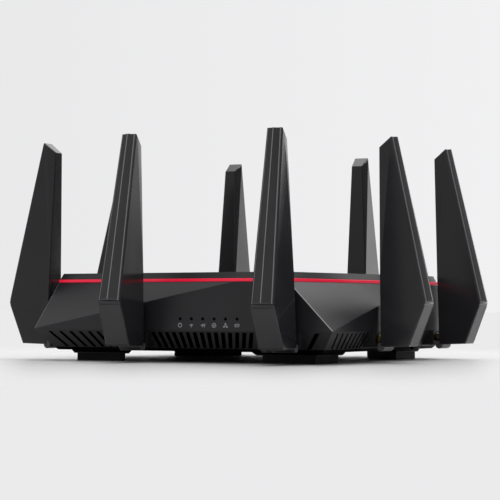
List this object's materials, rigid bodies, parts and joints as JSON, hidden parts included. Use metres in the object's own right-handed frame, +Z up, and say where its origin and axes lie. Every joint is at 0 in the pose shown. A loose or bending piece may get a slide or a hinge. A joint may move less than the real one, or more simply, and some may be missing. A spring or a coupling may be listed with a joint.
{
  "type": "wireless router",
  "caption": "Square faceted desktop wireless router on low feet, ringed by tall blade antennas that turn and tilt on threaded connectors.",
  "frame": {"origin": "on the table, under the middle of the body", "axes": "+Z up, -Y towards the front with the indicator lights, +X to the right seen from the front"},
  "size_m": [0.3279, 0.333, 0.167],
  "materials": {
    "case": "fine satin texture",
    "cover": "fine satin texture",
    "trim": "bright red line",
    "grille": "satin",
    "rubber": "matt",
    "steel": "plain",
    "board": "solder mask",
    "components": "moulded",
    "chip": "moulded",
    "pad": "soft",
    "heatsink": "extruded",
    "shield": "tinned",
    "lan_yellow": "moulded",
    "wan_blue": "moulded",
    "usb_steel": "plated",
    "inlet": "moulded",
    "button": "satin",
    "reset": "satin",
    "lens": "clear, unlit",
    "gold": "gold plated",
    "lead": "sheathed",
    "antenna": "satin",
    "antenna_cover": "satin",
    "radiator": "copper on board",
    "knuckle": "smooth"
  },
  "bodies": {
    "base": {"bottom_case": "case", "top_cover": "cover", "trim_ring": "trim", "top_grille": "grille", "feet": "rubber", "case_screws": "steel", "main_board": "board", "board_screws": "steel", "board_parts": "components", "processor": "chip", "thermal_pad": "pad", "heatsink": "heatsink", "radio_cans": "shield", "lan_sockets": "lan_yellow", "wan_socket": "wan_blue", "usb_rear": "usb_steel", "usb_side": "usb_steel", "power_inlet": "inlet", "button_switches": "inlet", "light_pipes": "lens", "antenna_jacks": "gold", "jack_nuts": "gold", "coax_leads": "lead"},
    "antenna1_swivel": {"antenna1_knuckle": "knuckle"},
    "antenna1_blade": {"antenna1_shell": "antenna", "antenna1_cover": "antenna_cover", "antenna1_radiator": "radiator"},
    "antenna2_swivel": {"antenna2_knuckle": "knuckle"},
    "antenna2_blade": {"antenna2_shell": "antenna", "antenna2_cover": "antenna_cover", "antenna2_radiator": "radiator"},
    "antenna3_swivel": {"antenna3_knuckle": "knuckle"},
    "antenna3_blade": {"antenna3_shell": "antenna", "antenna3_cover": "antenna_cover", "antenna3_radiator": "radiator"},
    "antenna4_swivel": {"antenna4_knuckle": "knuckle"},
    "antenna4_blade": {"antenna4_shell": "antenna", "antenna4_cover": "antenna_cover", "antenna4_radiator": "radiator"},
    "antenna5_swivel": {"antenna5_knuckle": "knuckle"},
    "antenna5_blade": {"antenna5_shell": "antenna", "antenna5_cover": "antenna_cover", "antenna5_radiator": "radiator"},
    "antenna6_swivel": {"antenna6_knuckle": "knuckle"},
    "antenna6_blade": {"antenna6_shell": "antenna", "antenna6_cover": "antenna_cover", "antenna6_radiator": "radiator"},
    "antenna7_swivel": {"antenna7_knuckle": "knuckle"},
    "antenna7_blade": {"antenna7_shell": "antenna", "antenna7_cover": "antenna_cover", "antenna7_radiator": "radiator"},
    "antenna8_swivel": {"antenna8_knuckle": "knuckle"},
    "antenna8_blade": {"antenna8_shell": "antenna", "antenna8_cover": "antenna_cover", "antenna8_radiator": "radiator"},
    "power_key": {"power_button": "button"},
    "reset_key": {"reset_button": "reset"},
    "wps_key": {"wps_button": "button"},
    "wifi_key": {"wifi_button": "button"},
    "led_key": {"led_button": "button"}
  },
  "joints": [
    {"name": "antenna1_turn", "type": "hinge", "parent": "base", "child": "antenna1_swivel", "pos_m": [-0.0352, -0.1269, 0.0175], "axis": [0, 1, 0], "range_deg": [-90, 35]},
    {"name": "antenna1_tilt", "type": "hinge", "parent": "antenna1_swivel", "child": "antenna1_blade", "pos_m": [-0.0352, -0.1269, 0.0117], "axis": [1, 0, 0], "range_deg": [0, 16.6]},
    {"name": "antenna2_turn", "type": "hinge", "parent": "base", "child": "antenna2_swivel", "pos_m": [0.0874, -0.1269, 0.0175], "axis": [0, 1, 0], "range_deg": [-35, 90]},
    {"name": "antenna2_tilt", "type": "hinge", "parent": "antenna2_swivel", "child": "antenna2_blade", "pos_m": [0.0874, -0.1269, 0.0117], "axis": [1, 0, 0], "range_deg": [-2.4, 12.6]},
    {"name": "antenna3_turn", "type": "hinge", "parent": "base", "child": "antenna3_swivel", "pos_m": [0.1269, -0.0352, 0.0175], "axis": [-1, 0, 0], "range_deg": [-90, 35]},
    {"name": "antenna3_tilt", "type": "hinge", "parent": "antenna3_swivel", "child": "antenna3_blade", "pos_m": [0.1269, -0.0352, 0.0117], "axis": [0, 1, 0], "range_deg": [0, 16.4]},
    {"name": "antenna4_turn", "type": "hinge", "parent": "base", "child": "antenna4_swivel", "pos_m": [0.1269, 0.0874, 0.0175], "axis": [-1, 0, 0], "range_deg": [-35, 90]},
    {"name": "antenna4_tilt", "type": "hinge", "parent": "antenna4_swivel", "child": "antenna4_blade", "pos_m": [0.1269, 0.0874, 0.0117], "axis": [0, 1, 0], "range_deg": [0, 17.4]},
    {"name": "antenna5_turn", "type": "hinge", "parent": "base", "child": "antenna5_swivel", "pos_m": [0.0352, 0.1269, 0.0175], "axis": [0, -1, 0], "range_deg": [-90, 35]},
    {"name": "antenna5_tilt", "type": "hinge", "parent": "antenna5_swivel", "child": "antenna5_blade", "pos_m": [0.0352, 0.1269, 0.0117], "axis": [-1, 0, 0], "range_deg": [-0.4, 14.6]},
    {"name": "antenna6_turn", "type": "hinge", "parent": "base", "child": "antenna6_swivel", "pos_m": [-0.0874, 0.1269, 0.0175], "axis": [0, -1, 0], "range_deg": [-35, 90]},
    {"name": "antenna6_tilt", "type": "hinge", "parent": "antenna6_swivel", "child": "antenna6_blade", "pos_m": [-0.0874, 0.1269, 0.0117], "axis": [-1, 0, 0], "range_deg": [-3.6, 11.4]},
    {"name": "antenna7_turn", "type": "hinge", "parent": "base", "child": "antenna7_swivel", "pos_m": [-0.1269, 0.0352, 0.0175], "axis": [1, 0, 0], "range_deg": [-90, 35]},
    {"name": "antenna7_tilt", "type": "hinge", "parent": "antenna7_swivel", "child": "antenna7_blade", "pos_m": [-0.1269, 0.0352, 0.0117], "axis": [0, -1, 0], "range_deg": [0, 16.5]},
    {"name": "antenna8_turn", "type": "hinge", "parent": "base", "child": "antenna8_swivel", "pos_m": [-0.1269, -0.0874, 0.0175], "axis": [1, 0, 0], "range_deg": [-35, 90]},
    {"name": "antenna8_tilt", "type": "hinge", "parent": "antenna8_swivel", "child": "antenna8_blade", "pos_m": [-0.1269, -0.0874, 0.0117], "axis": [0, -1, 0], "range_deg": [0, 16.5]},
    {"name": "power_press", "type": "slide", "parent": "base", "child": "power_key", "axis": [0, -1, 0], "range_m": [0, 0.002], "stiffness_N_per_m": 400, "springref_m": -0.0006},
    {"name": "reset_press", "type": "slide", "parent": "base", "child": "reset_key", "axis": [0, -1, 0], "range_m": [0, 0.0008], "stiffness_N_per_m": 400, "springref_m": -0.0006},
    {"name": "wps_press", "type": "slide", "parent": "base", "child": "wps_key", "axis": [1, 0, 0], "range_m": [0, 0.0008], "stiffness_N_per_m": 400, "springref_m": -0.0006},
    {"name": "wifi_press", "type": "slide", "parent": "base", "child": "wifi_key", "axis": [1, 0, 0], "range_m": [0, 0.0008], "stiffness_N_per_m": 400, "springref_m": -0.0006},
    {"name": "led_press", "type": "slide", "parent": "base", "child": "led_key", "axis": [1, 0, 0], "range_m": [0, 0.0008], "stiffness_N_per_m": 400, "springref_m": -0.0006}
  ]
}
